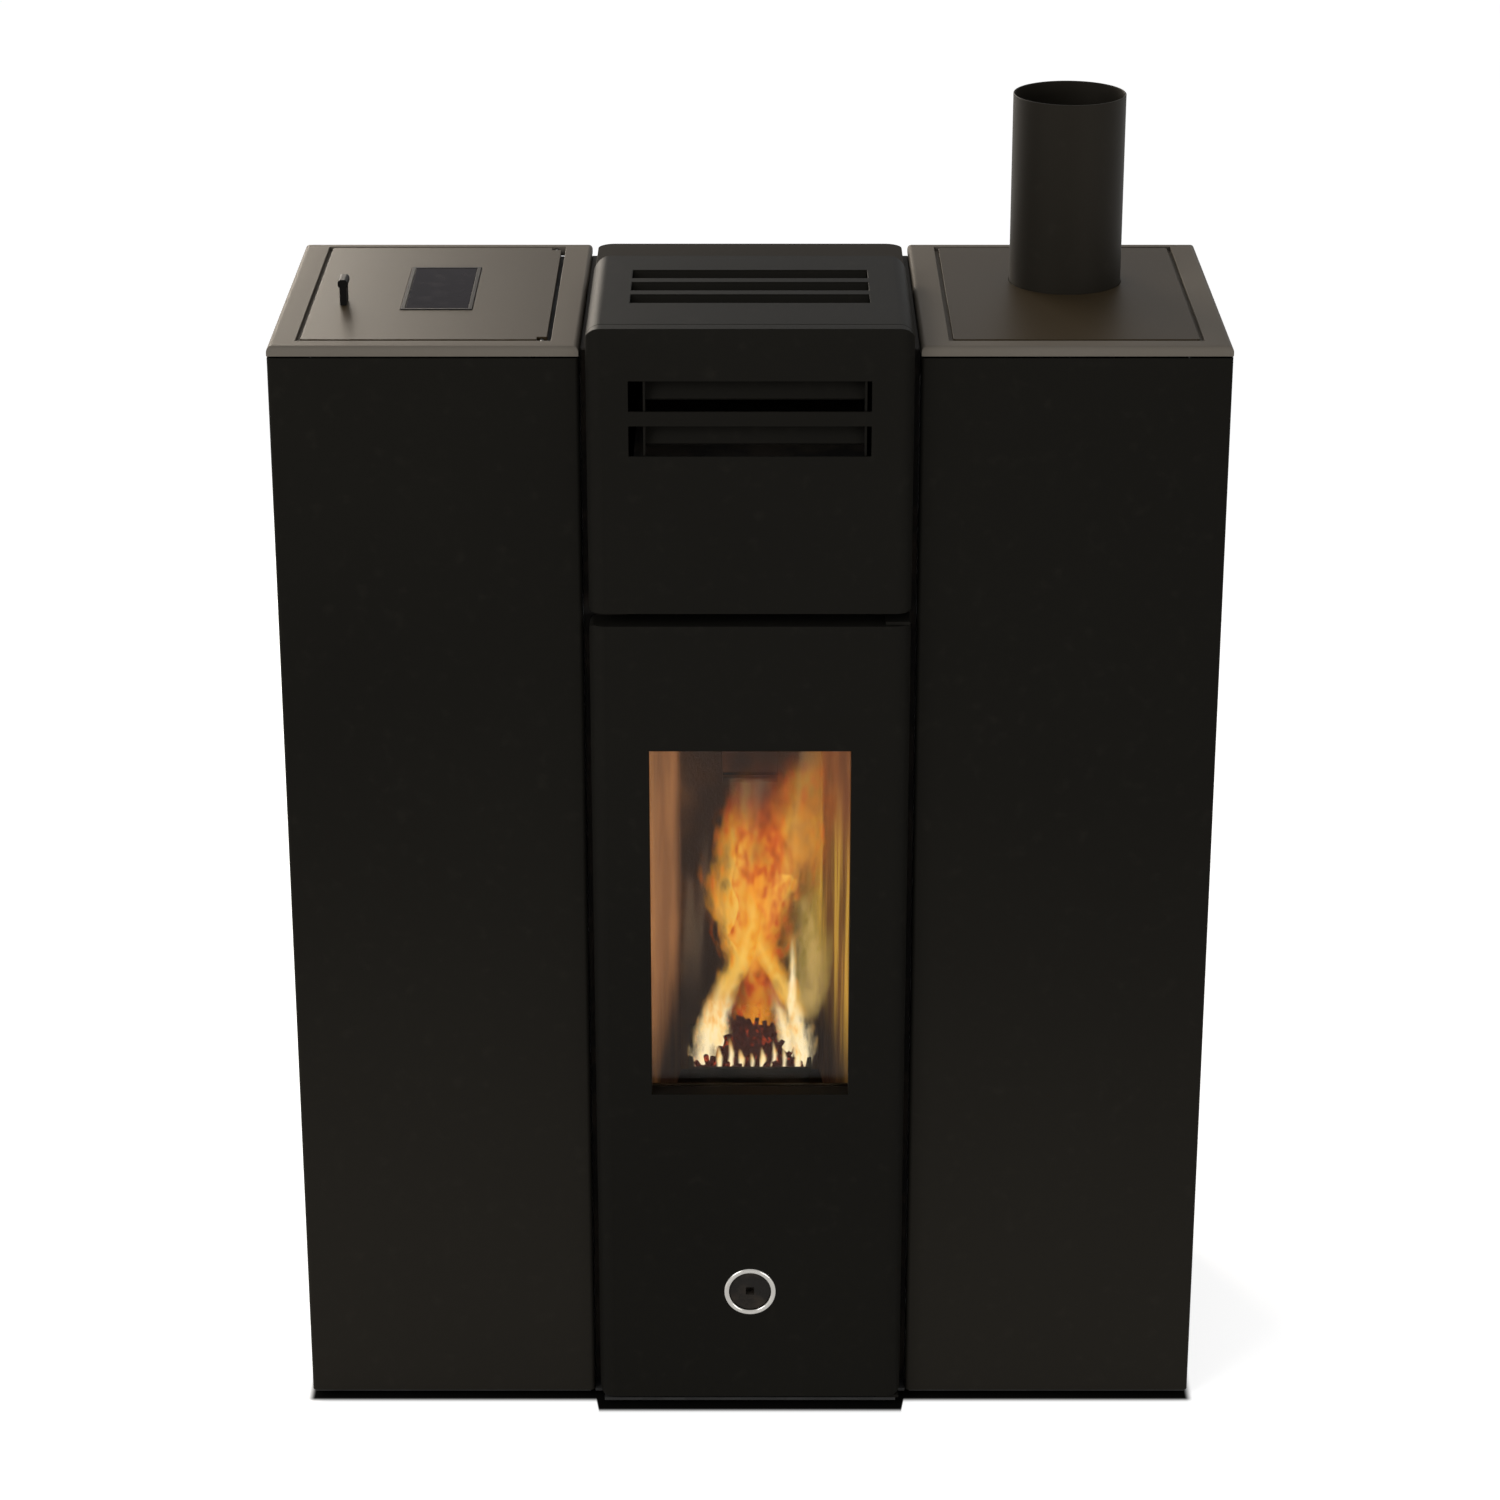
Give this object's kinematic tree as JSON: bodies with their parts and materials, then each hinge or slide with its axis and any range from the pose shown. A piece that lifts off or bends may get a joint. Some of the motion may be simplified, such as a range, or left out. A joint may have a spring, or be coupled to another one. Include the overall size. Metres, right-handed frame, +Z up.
{
  "type": "pellet stove",
  "caption": "Slim free-standing pellet stove: side modules with hopper lid and flue, a proud centre column with a tall glazed door, a ring latch and louvred warm-air outlets.",
  "frame": {"origin": "on the floor, in the middle of the overall width and depth", "axes": "+Z up, +X to the right seen from the front, +Y to the back; the door faces -Y"},
  "size_m": [0.858, 0.3786, 1.246],
  "materials": {
    "black_powder": "satin powder coat",
    "dark_top": "smooth glossy paint",
    "black_pipe": "satin stove paint",
    "bare_steel": "bare mill finish",
    "zinc": "zinc-coated sheet",
    "cast_iron": "dull, sooted",
    "vermiculite": "pressed mineral board, matte",
    "ceramic_glass": "clear, polished",
    "screen": "polished glass over a dark display",
    "black_plastic": "moulded, fine grain",
    "rope_seal": "braided glass-fibre rope",
    "chrome": "polished",
    "circuit_board": "green board",
    "motor_grey": "plain",
    "red_plastic": "moulded"
  },
  "bodies": {
    "stove": {"rear_panel": "black_powder", "left_front_panel": "black_powder", "right_front_panel": "black_powder", "left_side_panel": "black_powder", "right_side_panel": "black_powder", "upper_front_panel": "black_powder", "louvre_insert": "black_powder", "column_hood": "black_powder", "left_top_rim": "dark_top", "right_top_rim": "dark_top", "flue_cover_plate": "dark_top", "column_deck": "dark_top", "flue_pipe": "black_pipe", "lid_hinge_rod": "bare_steel", "auger_tube": "bare_steel", "pellet_chute": "bare_steel", "igniter": "bare_steel", "heat_exchanger": "bare_steel", "smoke_duct": "bare_steel", "flue_duct": "bare_steel", "door_hinge_lower": "bare_steel", "door_hinge_upper": "bare_steel", "air_pipe": "bare_steel", "base_pan": "zinc", "left_inner_panel": "zinc", "right_inner_panel": "zinc", "hopper": "zinc", "ash_drawer": "zinc", "room_fan_housing": "zinc", "fire_body": "cast_iron", "baffle_plate": "cast_iron", "smoke_fan_housing": "cast_iron", "liner_back": "vermiculite", "liner_left": "vermiculite", "liner_right": "vermiculite", "mains_inlet": "black_plastic", "control_board": "circuit_board", "auger_gearmotor": "motor_grey", "smoke_fan_motor": "motor_grey", "room_fan_motor": "motor_grey"},
    "door": {"door_shell": "black_powder", "door_glass": "ceramic_glass", "door_inner_plate": "cast_iron", "door_seal": "rope_seal", "latch_ring": "chrome"},
    "latch": {"latch_spindle": "cast_iron"},
    "lid": {"hopper_lid": "dark_top", "lid_tab": "black_plastic", "display_bezel": "black_plastic", "display_screen": "screen"},
    "pot": {"burn_pot": "cast_iron"},
    "auger": {"auger_screw": "bare_steel"},
    "smoke_fan": {"smoke_fan_impeller": "bare_steel"},
    "room_fan": {"room_fan_rotor": "zinc"},
    "switch": {"mains_switch": "red_plastic"},
    "reset": {"reset_button": "red_plastic"},
    "foot_fl": {"foot_front_left": "black_plastic"},
    "foot_fr": {"foot_front_right": "black_plastic"},
    "foot_bl": {"foot_back_left": "black_plastic"},
    "foot_br": {"foot_back_right": "black_plastic"}
  },
  "joints": [
    {"name": "door_hinge", "type": "hinge", "parent": "stove", "child": "door", "pos_m": [0.134, -0.17775, 0.412], "axis": [0, 0, 1], "range_deg": [0, 110]},
    {"name": "latch_turn", "type": "hinge", "parent": "door", "child": "latch", "pos_m": [0, -0.17775, 0.129], "axis": [0, 1, 0], "range_deg": [0, 90]},
    {"name": "lid_hinge", "type": "hinge", "parent": "stove", "child": "lid", "pos_m": [-0.186, 0.01475, 1.065], "axis": [0, 1, 0], "range_deg": [0, 85]},
    {"name": "burn_pot_lift", "type": "slide", "parent": "stove", "child": "pot", "axis": [0, 0, 1], "range_m": [0, 0.05]},
    {"name": "auger_spin", "type": "hinge", "parent": "stove", "child": "auger", "pos_m": [-0.29, 0.13275, 0.53], "axis": [0.829, 0, 0.5592], "continuous": true},
    {"name": "smoke_fan_spin", "type": "hinge", "parent": "stove", "child": "smoke_fan", "pos_m": [0.235, -0.01775, 0.5], "axis": [0, 0, 1], "continuous": true},
    {"name": "room_fan_spin", "type": "hinge", "parent": "stove", "child": "room_fan", "pos_m": [-0.016, 0.13075, 0.062], "axis": [1, 0, 0], "continuous": true},
    {"name": "mains_switch_rock", "type": "hinge", "parent": "stove", "child": "switch", "pos_m": [-0.33, 0.17755, 0.106], "axis": [1, 0, 0], "range_deg": [0, 20]},
    {"name": "reset_press", "type": "slide", "parent": "stove", "child": "reset", "axis": [0, -1, 0], "range_m": [0, 0.003], "stiffness_N_per_m": 300},
    {"name": "foot_fl_turn", "type": "hinge", "parent": "stove", "child": "foot_fl", "pos_m": [-0.395, -0.13375, 0.003], "axis": [0, 0, 1], "range_deg": [-180, 180]},
    {"name": "foot_fr_turn", "type": "hinge", "parent": "stove", "child": "foot_fr", "pos_m": [0.395, -0.13375, 0.003], "axis": [0, 0, 1], "range_deg": [-180, 180]},
    {"name": "foot_bl_turn", "type": "hinge", "parent": "stove", "child": "foot_bl", "pos_m": [-0.395, 0.14175, 0.003], "axis": [0, 0, 1], "range_deg": [-180, 180]},
    {"name": "foot_br_turn", "type": "hinge", "parent": "stove", "child": "foot_br", "pos_m": [0.395, 0.14175, 0.003], "axis": [0, 0, 1], "range_deg": [-180, 180]}
  ]
}
